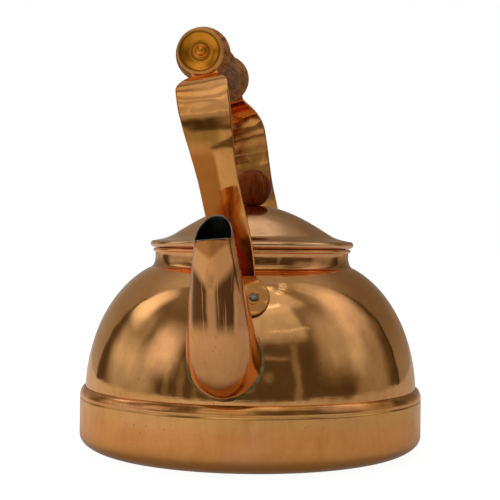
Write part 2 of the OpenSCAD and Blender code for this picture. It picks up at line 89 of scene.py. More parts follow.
class Wire:
    # wraps one output socket of a shader, so that + - * / and ** add Math nodes
    def __init__(self, tree, socket):
        self.tree = tree
        self.socket = socket

    def make(self, kind, settings=None, inputs=None, out=0):
        # any node: its settings first, then the values or links of its sockets
        node = self.tree.nodes.new(kind)
        for key, value in (settings or {}).items():
            setattr(node, key, value)
        for key, value in (inputs or {}).items():
            if isinstance(value, Wire):
                self.tree.links.new(value.socket, node.inputs[key])
            else:
                node.inputs[key].default_value = value
        return Wire(self.tree, node.outputs[out] if len(node.outputs) else None)

    def math(self, operation, *others):
        return self.make("ShaderNodeMath", {"operation": operation}, dict(enumerate((self, *others))))

    def __add__(self, other):
        return self.math("ADD", other)

    def __sub__(self, other):
        return self.math("SUBTRACT", other)

    def __mul__(self, other):
        return self.math("MULTIPLY", other)

    def __truediv__(self, other):
        return self.math("DIVIDE", other)

    def __pow__(self, other):
        return self.math("POWER", other)

    def __rsub__(self, other):
        # other - self
        return self * -1 + other

    __radd__ = __add__
    __rmul__ = __mul__

    def between(self, low, high):
        # 0 at low and 1 at high, with a soft step between; it falls where low is the larger
        ends = {"Value": self, "From Min": low, "From Max": high}
        return self.make("ShaderNodeMapRange", {"interpolation_type": "SMOOTHSTEP"}, ends)

    def within(self, rise, full, fall, gone):
        # 1 from full to fall, softly down to 0 at rise and gone
        return self.between(rise, full) * (1 - self.between(fall, gone))

    def about(self, middle, inner, outer):
        # 1 where this is closer than inner to the middle, 0 where it is farther than outer
        return (self - middle).math("ABSOLUTE").between(outer, inner)

    def stretched(self, x, y, z):
        # a vector with each part scaled
        return self.make("ShaderNodeVectorMath", {"operation": "MULTIPLY"}, {0: self, 1: (x, y, z)})

    def moved(self, other):
        return self.make("ShaderNodeVectorMath", {"operation": "ADD"}, {0: self, 1: other})

    def part(self, index):
        return self.make("ShaderNodeSeparateXYZ", None, {0: self}, index)

    def noise(self, scale, detail, rough, warp=0.0):
        inputs = {"Vector": self, "Scale": scale, "Detail": detail, "Roughness": rough, "Distortion": warp}
        return self.make("ShaderNodeTexNoise", None, inputs)

    def cells(self, scale):
        return self.make("ShaderNodeTexVoronoi", None, {"Vector": self, "Scale": scale})

    def blend(self, first, second):
        # self is the mask: 0 gives the first colour (socket 6) and 1 the second (socket 7), out of socket 2
        first = (*first, 1) if isinstance(first, tuple) else first
        second = (*second, 1) if isinstance(second, tuple) else second
        return self.make("ShaderNodeMix", {"data_type": "RGBA"}, {0: self, 6: first, 7: second}, 2)

    def tinted(self, colour):
        # the colour times this value
        return self.make("ShaderNodeVectorMath", {"operation": "SCALE"}, {0: colour, "Scale": self})

    def bump(self, distance, strength, under=None):
        inputs = {"Height": self, "Distance": distance, "Strength": strength}
        if under is not None:
            inputs["Normal"] = under
        return self.make("ShaderNodeBump", None, inputs)


def newMaterial(name):
    # an empty material, and the piece's own coordinates as a wire
    material = bpy.data.materials.new(name)
    material.use_nodes = True
    tree = material.node_tree
    tree.nodes.clear()
    coordinates = tree.nodes.new("ShaderNodeTexCoord")
    return material, Wire(tree, coordinates.outputs["Object"])


def finished(material, place, inputs, kind="ShaderNodeBsdfPrincipled"):
    shader = place.make(kind, None, inputs)
    place.make("ShaderNodeOutputMaterial", None, {"Surface": shader})
    return material


copperBody = {
    "clean": (0.94, 0.475, 0.175),
    "dull": (0.66, 0.30, 0.09),
    "dark": (0.22, 0.085, 0.022),
    "pink": (0.92, 0.42, 0.20),
    "rough": 0.05,
    "roughSpread": 0.06,
    "tarnish": 0.55,
    "rings": 0.04,
    "dents": 0.0001,
    "spots": 0.5,
    "seed": 3.0,
}
copperPan = dict(
    copperBody,
    clean=(0.93, 0.42, 0.13), dull=(0.70, 0.27, 0.06), dark=(0.20, 0.07, 0.018),
    pink=(0.95, 0.44, 0.24), rough=0.17, roughSpread=0.14, tarnish=0.65,
    rings=0.12, dents=0.00018, spots=0.45, seed=11.0,
)
copperSpout = dict(
    copperBody,
    clean=(0.93, 0.43, 0.15), dull=(0.62, 0.25, 0.06), dark=(0.20, 0.085, 0.03),
    pink=(0.92, 0.46, 0.22), rough=0.09, roughSpread=0.1, tarnish=0.6,
    rings=0.0, dents=0.0002, spots=0.35, seed=23.0,
)
copperStrap = dict(
    copperBody,
    clean=(0.92, 0.42, 0.12), dull=(0.60, 0.22, 0.04), dark=(0.22, 0.06, 0.015),
    pink=(0.86, 0.42, 0.17), rough=0.1, roughSpread=0.12, tarnish=0.6,
    rings=0.0, dents=0.00022, spots=0.7, seed=37.0,
)
copperCup = dict(
    copperStrap,
    clean=(0.95, 0.37, 0.035), dull=(0.60, 0.20, 0.012), rough=0.28, rings=0.08, seed=41.0,
)
copperLid = dict(
    copperBody,
    clean=(0.93, 0.51, 0.25), dull=(0.70, 0.36, 0.16), dark=(0.27, 0.12, 0.045),
    pink=(0.92, 0.44, 0.235), rough=0.12, roughSpread=0.1, tarnish=0.5,
    rings=0.08, dents=0.00015, spots=0.5, seed=53.0,
)

# noises on all the copper: scale, detail, roughness and warp
copperGrain = {
    "clouds": (26, 4, 0.55, 0.4),
    "mottle": (120, 5, 0.6),
    "smears": (150, 4, 0.6, 0.8),
    "blush": (17, 2, 0.5),
    "crowd": (22, 2, 0.5),
    "spotBreaks": (500, 2, 0.5),
    "fleckBreaks": (60, 2, 0.5),
    "rings": (28, 3, 0.7),
    "hairs": (160, 3, 0.6, 1.2),
    "dents": (34, 2, 0.45),
}
leastRough = 0.045
glancingTint = (1.0, 0.92, 0.84, 1)


def copperMaterial(name, c, band=None):
    material, place = newMaterial(name)
    shifted = place.moved((c["seed"], c["seed"] * 0.7, c["seed"] * 0.3))
    grain = copperGrain
    # broad clouds of tarnish, finer mottling in them, and smears left by the polishing cloth
    mottle = shifted.noise(*grain["mottle"])
    smears = shifted.stretched(1, 1, 0.22).noise(*grain["smears"])
    cloudy = shifted.noise(*grain["clouds"]) * 0.6 + mottle * 0.25 + smears * 0.3
    tarnish = cloudy.between(0.50, 0.74) * c["tarnish"]
    colour = tarnish.blend(c["clean"], c["dull"])
    blush = shifted.moved((5, 2, 1)).noise(*grain["blush"]).between(0.48, 0.68)
    colour = (blush * 0.45).blend(colour, c["pink"])
    if band is not None:
        colour = band(place, shifted, colour)
    # small dark spots in two sizes, thicker in some places than in others
    specks = shifted.cells(330)
    crowd = shifted.noise(*grain["crowd"]).between(0.46, 0.62)
    spots = specks.between(0.24, 0.10) * crowd * shifted.noise(*grain["spotBreaks"]).between(0.45, 0.6)
    flecks = shifted.cells(900).between(0.26, 0.10) * shifted.noise(*grain["fleckBreaks"]).between(0.5, 0.66)
    marks = (spots * 0.8 + flecks * 0.5).math("MINIMUM", 1.0) * c["spots"]
    colour = marks.blend(colour, c["dark"])
    # dents, then fine scratches, then rings from spinning
    rough = c["rough"] + (smears * 0.5 + mottle * 0.5 - 0.5) * c["roughSpread"] + tarnish * 0.07 + marks * 0.2
    height = shifted.noise(*grain["dents"]).bump(c["dents"] * 7, 0.8)
    height = mottle.bump(0.00035, 0.07, height)
    hairs = shifted.stretched(7, 7, 0.9).noise(*grain["hairs"])
    height = (hairs * 0.5 + specks * 0.2).bump(0.00012, 0.12, height)
    if c["rings"] > 0:
        height = place.stretched(0.6, 0.6, 60).noise(*grain["rings"]).bump(0.0002, c["rings"], height)
    look = {
        "Base Color": colour,
        "Metallic": 1.0,
        "Roughness": rough.math("MAXIMUM", leastRough),
        "Specular Tint": glancingTint,
        "Normal": height,
    }
    return finished(material, place, look)


# stains on the copper, and painted shade and painted dark reflections: where each is, its strength and its
# colour. Four numbers are where it comes in, is full, starts to go and is gone, and two are where it is none
# and full. Most are metres up the kettle.
stainsAndShades = {
    "panGreen": ((0.021, 0.028, 0.0305, 0.032), 0.35, (0.86, 0.52, 0.17)),
    "panBottomShade": ((0.015, 0.0), 0.85, (0.50, 0.17, 0.025)),
    "panShoulderDarkReflection": ((0.0325, 0.0335), 0.6, (0.52, 0.20, 0.035)),
    "panOrange": ((0.008, 0.014, 0.018, 0.024), 0.4, (0.90, 0.35, 0.09)),
    "spoutVeil": ((0.1075, 0.1105), 0.75, (0.46, 0.17, 0.035)),
    "spoutStreakReflections": ((0.071, 0.080), 0.94, (0.11, 0.038, 0.008)),
    "spoutDrip": ((0.090, 0.097), 0.5, (0.38, 0.14, 0.035)),
    "spoutFootReflection": ((0.053, 0.045), 0.75, (0.50, 0.18, 0.03)),
    "strapLeftReflection": ((0.108, 0.120, 0.156, 0.166), 0.85, (0.46, 0.14, 0.018)),
    "strapHighReflection": ((0.160, 0.167, 0.175, 0.181), 0.7, (0.30, 0.135, 0.015)),
    "strapFootReflection": ((0.106, 0.100), 0.9, (0.43, 0.18, 0.05)),
    "strapPatchyShade": ((0.42, 0.62), 0.45, (0.30, 0.125, 0.022)),  # by a noise
    "strapShade": ((0.132, 0.150, 0.170, 0.180), 0.8, (0.24, 0.10, 0.016)),
    "bodyCreaseShade": ((0.0042, 0.0010), 0.6, (0.40, 0.18, 0.055)),  # metres from the crease
    "cupOuterShade": ((0.0008, 0.0002), 0.75, (0.20, 0.07, 0.01)),  # metres from the groove
    "cupInnerShade": ((0.0009, 0.0002), 0.7, (0.20, 0.07, 0.01)),
    "cupRim": ((0.0106, 0.0112), 0.6, (0.82, 0.42, 0.17)),  # metres from the middle
}
# heights, slopes and distances that the stains and the painted shade are measured from, in metres
stainAndShadePlaces = {
    "crease": 0.1045,
    "streakSide": (0.0064, 0.0032, 0.0052),
    "leanFrom": 0.120,
    "leanSlope": (0.197, 0.276),  # front, rear
    "gripSide": (-0.0185, -0.0259),  # front, rear
    "gripLevel": 0.214,
    "grooves": (0.0101, 0.0045),
}


def stainedAndShaded(colour, value, name, *masks):
    where, strength, tint = stainsAndShades[name]
    mask = value.within(*where) if len(where) == 4 else value.between(*where)
    for other in masks:
        mask = mask * other
    return (mask * strength).blend(colour, tint)


def byEnd(front, values):
    # the first value where front is 1, the second where it is 0
    return front * (values[0] - values[1]) + values[1]


def panBand(place, shifted, colour):
    # heat tints by height, painted shade darker towards the bottom edge, and painted dark reflections in
    # uneven patches on the shoulder's top
    height = place.part(2) + (shifted.noise(30, 3, 0.5) - 0.5) * 0.006
    colour = stainedAndShaded(colour, height, "panGreen")
    colour = stainedAndShaded(colour, height, "panBottomShade")
    colour = stainedAndShaded(colour, place.part(2), "panShoulderDarkReflection", shifted.noise(70, 3, 0.5).between(0.36, 0.60))
    return stainedAndShaded(colour, height, "panOrange")


def spoutBand(place, shifted, colour):
    # a patch hangs under the lip like a V, with painted dark reflections as ragged streaks low down on both
    # sides of its tip, and a painted dark reflection low down by the foot
    wander = shifted.noise(45, 3, 0.6) - 0.5
    height = place.part(2) + wander * 0.006
    side = place.part(1) + wander * 0.002
    out = side.math("ABSOLUTE")
    colour = stainedAndShaded(colour, height - out * 0.8, "spoutVeil", place.part(0).between(0.118, 0.122))
    drawn = {0: side * 420, 1: place.part(0) * 10, 2: place.part(2) * 11}
    ragged = place.make("ShaderNodeCombineXYZ", None, drawn).noise(1.0, 4, 0.65, 0.5).between(0.32, 0.44)
    groups = out.about(*stainAndShadePlaces["streakSide"]) * 0.75 + 0.25
    below = (height - out * 1.1).between(0.097, 0.090)
    # painted dark reflections: ragged streaks in two groups, low on both sides
    colour = stainedAndShaded(colour, height, "spoutStreakReflections", ragged, groups, below)
    patchy = shifted.noise(95, 3, 0.5).between(0.44, 0.60)
    colour = stainedAndShaded(colour, height, "spoutDrip", out.between(0.0034, 0.0008), patchy)
    # painted dark reflection: the spout is darker low down near its foot
    return stainedAndShaded(colour, height, "spoutFootReflection")


def strapBand(place, shifted, colour):
    # the side is measured from the middle of the leaning bar: y plus height above the bend times slope
    wander = shifted.noise(38, 3, 0.55) - 0.5
    height = place.part(2) + wander * 0.010
    front = place.part(0).between(-0.02, 0.02)
    above = (place.part(2) - stainAndShadePlaces["leanFrom"]).math("MAXIMUM", 0.0)
    side = place.part(1) + above * byEnd(front, stainAndShadePlaces["leanSlope"])
    left = (side + wander * 0.004).between(0.0012, -0.0009)
    # painted dark reflections on the front bar: its left half lower down, a band high up on its left, and its
    # foot
    colour = stainedAndShaded(colour, height, "strapLeftReflection", left, front)
    colour = stainedAndShaded(colour, height, "strapHighReflection", side.between(0.008, 0.002), front)
    colour = stainedAndShaded(colour, height, "strapFootReflection", front)
    # painted shade on the rear bar: darker blotches by a noise, and a darker band across its middle
    colour = stainedAndShaded(colour, shifted.noise(42, 4, 0.5, 0.3), "strapPatchyShade", 1 - front)
    return stainedAndShaded(colour, height, "strapShade", 1 - front, shifted.noise(48, 3, 0.5).between(0.34, 0.50))


def bodyBand(place, shifted, colour):
    # painted shade: the crease between the dome and the neck is darkened
    return stainedAndShaded(colour, (place.part(2) - stainAndShadePlaces["crease"]).math("ABSOLUTE"), "bodyCreaseShade")


def cupBand(place, shifted, colour):
    # painted shade: thin dark rings in the grooves round the middle of each cup
    side = place.part(1) - byEnd(place.part(0).between(-0.02, 0.02), stainAndShadePlaces["gripSide"])
    out = (side ** 2 + (place.part(2) - stainAndShadePlaces["gripLevel"]) ** 2) ** 0.5
    for groove, name in zip(stainAndShadePlaces["grooves"], ("cupOuterShade", "cupInnerShade")):
        colour = stainedAndShaded(colour, (out - groove).math("ABSOLUTE"), name)
    return stainedAndShaded(colour, out, "cupRim")


bodyCopper = copperMaterial("bodyCopper", copperBody, bodyBand)
panCopper = copperMaterial("panCopper", copperPan, panBand)
spoutCopper = copperMaterial("spoutCopper", copperSpout, spoutBand)
strapCopper = copperMaterial("strapCopper", copperStrap, strapBand)
cupCopper = copperMaterial("cupCopper", copperCup, cupBand)
lidCopper = copperMaterial("lidCopper", copperLid)

# dull metals and wood: noises are scale, detail, roughness and warp, and bumps are distance and strength
tinLook = {
    "clean": (0.40, 0.39, 0.36),
    "dull": (0.17, 0.155, 0.13),
    "rough": 0.42,
    "metal": 0.85,
    "clouds": (60, 5, 0.6, 0.5),
    "edges": (0.42, 0.62),
    "grain": (300, 4, 0.6),
    "bump": (0.0003, 0.3),
}
# painted shade: a near-black lining for the inside of the spout
shadedInsideLook = dict(tinLook, clean=(0.055, 0.055, 0.05), dull=(0.018, 0.017, 0.015), rough=0.55)
steelLook = dict(
    tinLook,
    clean=(0.36, 0.33, 0.29), dull=(0.16, 0.12, 0.09), rough=0.36, metal=0.9,
    clouds=(400, 4, 0.6), edges=(0.40, 0.62), grain=(1500, 3, 0.6), bump=(0.0001, 0.4),
)
solderLook = {
    "clean": (0.30, 0.29, 0.17),
    "green": (0.11, 0.15, 0.06),
    "copper": (0.42, 0.20, 0.07),
    "rough": 0.40,
    "metal": 0.7,
    "clouds": (75, 3, 0.5),
    "lumps": (260, 4, 0.6, 0.4),
    "bump": (0.0006, 0.55),
}
woodGrip = {
    "pale": (0.50, 0.205, 0.072),
    "dark": (0.14, 0.052, 0.018),
    "worn": (0.60, 0.26, 0.09),
    "rough": 0.5,
    "shine": 0.02,
    "axis": 0,
    "squeeze": (0.10, 1, 1),  # draws the grain out along the axis
}
woodKnob = dict(
    woodGrip,
    pale=(0.30, 0.062, 0.008), dark=(0.09, 0.013, 0.0015), worn=(0.42, 0.13, 0.03),
    rough=0.36, shine=0.06, axis=2, squeeze=(1, 1, 0.10),
)
roughSpread = 0.3
latheMarks = 4200


def dullMetal(name, c):
    material, place = newMaterial(name)
    clouds = place.noise(*c["clouds"])
    look = {
        "Base Color": clouds.between(*c["edges"]).blend(c["clean"], c["dull"]),
        "Metallic": c["metal"],
        "Roughness": c["rough"] + (clouds - 0.5) * roughSpread,
        "Normal": place.noise(*c["grain"]).bump(*c["bump"]),
    }
    return finished(material, place, look)


def solderMaterial(name, c):
    material, place = newMaterial(name)
    lumps = place.noise(*c["lumps"])
    colour = place.noise(*c["clouds"]).between(0.45, 0.60).blend(c["clean"], c["green"])
    look = {
        "Base Color": lumps.between(0.56, 0.68).blend(colour, c["copper"]),
        "Metallic": c["metal"],
        "Roughness": c["rough"] + (lumps - 0.5) * roughSpread,
        "Normal": lumps.bump(*c["bump"]),
    }
    return finished(material, place, look)


def woodMaterial(name, c):
    material, place = newMaterial(name)
    grain = place.stretched(*c["squeeze"])
    # long fibres, darker growth bands, open pores, and a worn paler patch where hands hold it
    fibres = grain.noise(900, 5, 0.65, 0.3)
    bands = grain.noise(150, 3, 0.5, 1.1)
    pores = grain.cells(1500).between(0.30, 0.05)
    wear = place.noise(34, 4, 0.55, 0.4).between(0.50, 0.68)
    colour = (bands * 0.6 + fibres * 0.4).between(0.36, 0.62).blend(c["dark"], c["pale"])
    colour = (wear * 0.45).blend(colour, c["worn"])
    colour = (pores * fibres.between(0.45, 0.60) * 0.7).blend(colour, c["dark"])
    height = fibres.bump(0.00025, 0.35)
    height = (place.part(c["axis"]) * latheMarks).math("SINE").bump(0.00004, 0.25, height)
    height = pores.bump(0.0002, -0.25, height)
    look = {
        "Base Color": colour,
        "Roughness": c["rough"] + (fibres - 0.5) * roughSpread + wear * 0.08,
        "Normal": height,
        "Specular IOR Level": c["shine"],
    }
    return finished(material, place, look)


tin = dullMetal("tinLining", tinLook)
shadedInside = dullMetal("shadedInsideLining", shadedInsideLook)
solder = solderMaterial("solder", solderLook)
steel = dullMetal("steel", steelLook)
gripWood = woodMaterial("gripWood", woodGrip)
knobWood = woodMaterial("knobWood", woodKnob)
print("materials made")


def bezier(a, b, c, d, t):
    # the cubic curve through a and d that leaves towards b and arrives from c
    t = np.asarray(t, float)[..., None]
    return (1 - t) ** 3 * a + 3 * (1 - t) ** 2 * t * b + 3 * (1 - t) * t ** 2 * c + t ** 3 * d


def oval(cx, cz, rx, rz, start, end, count):
    # points on an ellipse about (cx, cz), from one angle to another, in degrees
    a = np.radians(np.linspace(start, end, count))
    return np.stack([cx + rx * np.cos(a), cz + rz * np.sin(a)], 1)


def smooth(t):
    # 0 below 0 and 1 above 1, three times the square less twice the cube between
    u = np.clip(t, 0, 1)
    return u * u * (3 - 2 * u)


def newMesh(name, points, faces):
    # a smooth mesh from points in millimetres, its doubles merged and its faces turned outwards
    mesh = bpy.data.meshes.new(name)
    faces = faces.tolist() if isinstance(faces, np.ndarray) else faces
    mesh.from_pydata((np.asarray(points) * mm).tolist(), [], faces)
    shape = bmesh.new()
    shape.from_mesh(mesh)
    bmesh.ops.remove_doubles(shape, verts=shape.verts, dist=2e-6)
    bmesh.ops.recalc_face_normals(shape, faces=shape.faces)
    for face in shape.faces:
        face.smooth = True
    shape.to_mesh(mesh)
    shape.free()
    return mesh


def sharpen(piece, degrees):
    # marks hard edges where the faces meet at more than this angle
    piece.data.set_sharp_from_angle(angle=math.radians(degrees))


def addPiece(name, points, faces, material, body, node, slot, sharp=None):
    piece = linked(name, newMesh(name, points, faces))
    piece.data.materials.append(material)
    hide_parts(node)
    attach(piece, body)
    if sharp:
        sharpen(piece, sharp)
    return piece


def gridFaces(rows, columns, wrapRows=False):
    # four corners for each cell of a grid whose points run row by row and close up along each row
    i = np.arange(rows if wrapRows else rows - 1)[:, None]
    j = np.arange(columns)[None, :]
    ni = (i + 1) % rows
    nj = (j + 1) % columns
    corners = [i * columns + j, i * columns + nj, ni * columns + nj, ni * columns + j]
    return np.stack([np.broadcast_to(c, (i.size, j.size)) for c in corners], -1).reshape(-1, 4)


def spun(name, outline, sides, *rest, closed=True, matrix=Matrix(), sharp=None):
    # a turned piece: each outline point (radius, height) is carried round the Z axis
    # a closed outline gives a ring or shell, an open one starts and ends on the axis
    a = np.linspace(0, 2 * np.pi, sides, endpoint=False)
    r, z = thinned(outline).T[:, :, None]
    points = np.stack([r * np.cos(a), r * np.sin(a), z + 0 * a], -1).reshape(-1, 3)
    points = points @ np.array(matrix.to_3x3()).T + np.array(matrix.translation)
    return addPiece(name, points, gridFaces(len(r), sides, wrapRows=closed), *rest, sharp=sharp)


def thinned(outline, gap=0.02):
    # drops outline points that lie on the one before
    outline = np.asarray(outline, float)
    keep = np.ones(len(outline), bool)
    keep[1:] = np.linalg.norm(np.diff(outline, axis=0), axis=1) > gap
    return outline[keep]


bowl = {
    "panRadius": 95.0,
    "panHeight": 36.0,
    "step": 3.0,
    "shoulder": 5.6,
    "cornerWidth": 19.6,
    "cornerHeight": 10.0,
    "wall": 1.2,
    "crownRadius": 36.7,
    "bowlHeight": 74.6,
    "sink": 3.6,
    "skirt": 13.0,
    "neckRadius": 54.0,
    "neckFlare": 3.2,
    "neckHeight": 8.6,
    "neckCurve": 6.0,
    "bead": 1.15,
    "beadOut": 1.2,
}
domeRadius = bowl["panRadius"] - bowl["step"]
bowlRun = domeRadius - bowl["crownRadius"]
bowlLevel = bowl["panHeight"] - bowl["sink"]
creaseRadius = bowl["neckRadius"] + bowl["neckFlare"]
creaseShare = (creaseRadius - bowl["crownRadius"]) / bowlRun
creaseLevel = bowlLevel + bowl["bowlHeight"] * math.sqrt(1 - creaseShare ** 2)
flangeLevel = creaseLevel + bowl["neckHeight"] + bowl["bead"]
flangeRadius = bowl["neckRadius"] + bowl["beadOut"]


def domeAt(z, off=0.0):
    # the dome's outer radius at height z, grown by off: straight below its widest level, an oval above it
    z = np.asarray(z, float)
    s = np.clip((z - bowlLevel) / (bowl["bowlHeight"] + off), 0, 1)
    return bowl["crownRadius"] + (bowlRun + off) * np.sqrt(1 - s * s)


def domeTilt(z):
    # elevation of the dome's outward normal at height z, in degrees
    s = (z - bowlLevel) / bowl["bowlHeight"]
    return math.degrees(math.atan2(s / bowl["bowlHeight"], math.sqrt(1 - s * s) / bowlRun))


def bodyLine(off, count):
    # skirt, oval side and flared neck, moved inwards by off
    stop = math.degrees(math.acos((creaseRadius - off - bowl["crownRadius"]) / (bowlRun - off)))
    side = oval(bowl["crownRadius"], bowlLevel, bowlRun - off, bowl["bowlHeight"] - off, 0, stop, count)
    a = np.radians(np.linspace(87, 0, 14))
    neckX = bowl["neckRadius"] - off + bowl["neckFlare"] * (1 - np.cos(a))
    neckZ = creaseLevel - off * np.degrees(a) / 90 + bowl["neckCurve"] * (1 - np.sin(a))
    skirt = [[domeRadius - off, bowl["panHeight"] - bowl["skirt"]], [domeRadius - off, bowlLevel - 3]]
    return np.vstack([skirt, side, np.stack([neckX, neckZ], 1)])


def makePan(c):
    lip = domeRadius + 0.05
    step = c["panRadius"] - lip
    level = c["panHeight"] - c["shoulder"]
    flat = c["panRadius"] - c["cornerWidth"]
    deep = c["cornerHeight"]
    wall = c["wall"]
    bottom = np.stack([np.linspace(0, flat, 12, endpoint=False), np.zeros(12)], 1)
    corner = oval(flat, deep, c["cornerWidth"], deep, -90, 0, 28)
    side = [[c["panRadius"], 14], [c["panRadius"], 22], [c["panRadius"], level - 1.2]]
    # a shallow crease under the shoulder, measured in from the side and up from the shoulder's foot
    crease = np.array([[0, -0.75], [-0.10, -0.5], [-0.38, -0.15], [-0.40, 0.1], [-0.14, 0.45]])
    crease = crease + [c["panRadius"], level]
    shoulder = oval(lip, level, step, c["shoulder"], 10, 84, 14)
    roll = [[lip + 0.18, c["panHeight"] - 0.03], [lip + 0.02, c["panHeight"] - 0.15]]
    inside = oval(lip, level, step - wall, c["shoulder"] - wall, 90, 0, 8)
    inner = [[c["panRadius"] - wall, 22], [c["panRadius"] - wall, 14]]
    cornerIn = oval(flat, deep, c["cornerWidth"] - wall, deep - wall, 0, -90, 16)
    bottomIn = np.stack([np.linspace(flat, 0, 8), np.full(8, wall)], 1)
    line = np.vstack([bottom, corner, side, crease, shoulder, roll, inside, inner, cornerIn, bottomIn])
    spun("basePan", line, 224, panCopper, "kettle", "base_pan", "pan_copper", closed=False, sharp=50)


def makeBody(c):
    outer = bodyLine(0, 64)
    inner = bodyLine(c["wall"], 48)
    neckTop = [[c["neckRadius"], creaseLevel + c["neckCurve"] + 0.8]]
    bead = oval(flangeRadius - c["bead"], flangeLevel, c["bead"], c["bead"], -88, 180, 24)
    line = np.vstack([outer, neckTop, bead, inner[::-1]])
    body = spun("bodyShell", line, 256, bodyCopper, "kettle", "body_shell", "body_copper", sharp=50)
    cutHole(body, footHeight / 2 - 2, c["crownRadius"], c["panRadius"], footMiddle)
    sharpen(body, 50)


def cutHole(piece, radius, start, length, level):
    # a round hole along X, cut by a cylinder that is then thrown away
    sides = 64
    a = np.linspace(0, 2 * np.pi, sides, endpoint=False)
    ring = np.stack([0 * a, radius * np.cos(a), level + radius * np.sin(a)], 1)
    points = np.vstack([ring + [start, 0, 0], ring + [start + length, 0, 0]])
    faces = gridFaces(2, sides).tolist() + [list(range(sides)), list(range(sides, 2 * sides))]
    cutter = linked("cutter", newMesh("cutter", points, faces))
    cut = piece.modifiers.new("hole", "BOOLEAN")
    cut.operation = "DIFFERENCE"
    cut.solver = "EXACT"
    cut.object = cutter
    view = bpy.context.evaluated_depsgraph_get()
    made = bpy.data.meshes.new_from_object(piece.evaluated_get(view))
    piece.modifiers.remove(cut)
    piece.data = made
    bpy.data.objects.remove(cutter)
    for polygon in made.polygons:
        polygon.use_smooth = True


spoutShape = {
    "footWidth": 38.0,
    "footLow": 38.6,
    "footHigh": 76.88,
    "mouthOut": 31.0,
    "mouthRise": 6.3,
    "mouthRadius": 9.0,
    "mouthCut": 52.5,
    "mouthTip": 5.0,
    "bellyOut": 28.0,
    "bellyRise": 6.0,
    "bellyShare": 0.45,
    "napeOut": 8.4,
    "napeRise": 10.5,
    "throatRadius": 12.5,
    "throatBack": 6.0,
    "throatDrop": 37.0,
    "napeBack": 11.5,
    "napeDrop": 19.5,
    "wall": 1.0,
    "solder": 1.8,
    "thinFrom": 0.85,
    "thinShare": 0.55,
}
footMiddle = (spoutShape["footLow"] + spoutShape["footHigh"]) / 2
footHeight = spoutShape["footHigh"] - spoutShape["footLow"]
mouthX = domeRadius + spoutShape["mouthOut"]
mouthZ = flangeLevel + spoutShape["mouthRise"]


def footPoint(a, inset):
    # an oval wrapped on the dome; angle 0 is its lowest point
    y = (spoutShape["footWidth"] / 2 - inset) * np.sin(a)
    z = footMiddle - (footHeight / 2 - inset) * np.cos(a)
    return np.stack([np.sqrt(domeAt(z) ** 2 - y * y), y, z], -1)


def mouthPoint(a, inset):
    # a circle that is level in front, cut upwards behind and tipped a little to one side
    r = spoutShape["mouthRadius"] - inset
    rise = np.maximum(0, -r * np.cos(a)) * math.tan(math.radians(spoutShape["mouthCut"]))
    rise = rise + r * np.sin(a) * math.tan(math.radians(spoutShape["mouthTip"]))
    return np.stack([mouthX + r * np.cos(a), r * np.sin(a), mouthZ + rise], -1)


def pullRing(a, front, back, half):
    # a ring between a front and a back point, half wide
    c = ((1 + np.cos(a)) / 2)[..., None]
    ring = back + c * (front - back)
    return ring + (half * np.sin(a))[..., None] * np.array([0, 1, 0])


def spoutPoint(a, t, inset):
    # each side line is a cubic curve from the foot through a belly and a throat ring to the mouth
    s = spoutShape
    low = footPoint(np.array(0.0), 0)
    high = footPoint(np.array(np.pi), 0)
    bellyFront = low + [s["bellyOut"] - inset, 0, s["bellyRise"] + inset]
    bellyBack = high + [s["napeOut"] + inset, 0, s["napeRise"] - inset]
    belly = pullRing(a, bellyFront, bellyBack, s["bellyShare"] * s["footWidth"] - inset)
    lip = mouthPoint(np.array(0.0), 0)
    rear = mouthPoint(np.array(np.pi), 0)
    throatFront = lip + [-s["throatBack"] - inset, 0, inset - s["throatDrop"]]
    throatBack = rear + [inset - s["napeBack"], 0, -s["napeDrop"] - inset]
    throat = pullRing(a, throatFront, throatBack, s["throatRadius"] - inset)
    return bezier(footPoint(a, inset), belly, throat, mouthPoint(a, inset), t)


def makeSpout(c):
    sides = 128
    rows = 72
    a = np.linspace(0, 2 * np.pi, sides, endpoint=False)
    t = np.linspace(0, 1, rows)
    # the cut edge is flat with its corners just broken, and the wall thins towards it
    thin = c["wall"] * c["thinShare"]
    edge = [(0.997, 0.0), (1.0, 0.1), (1.0, thin - 0.1), (0.997, thin)]
    walls = c["wall"] + (thin - c["wall"]) * smooth((t - c["thinFrom"]) / (1 - c["thinFrom"]))
    # up the outside, over the edge and down the inside at half the rows
    stations = [(x, 0.0) for x in t[:-1]] + edge + list(zip(t[::-2][1:], walls[::-2][1:]))
    points = np.vstack([spoutPoint(a, np.full(sides, x), wall) for x, wall in stations])
    faces = gridFaces(len(stations), sides, wrapRows=True)
    spout = addPiece("spout", points, faces, spoutCopper, "kettle", "spout", "spout_copper", 40)
    # the cut edge is bare tin, and the inside is nearly black, a painted shade
    spout.data.materials.append(tin)
    spout.data.materials.append(shadedInside)
    ring = np.arange(len(faces)) // sides
    kinds = (ring >= rows - 1).astype(np.int32) + (ring >= rows + 2)
    spout.data.polygons.foreach_set("material_index", kinds)


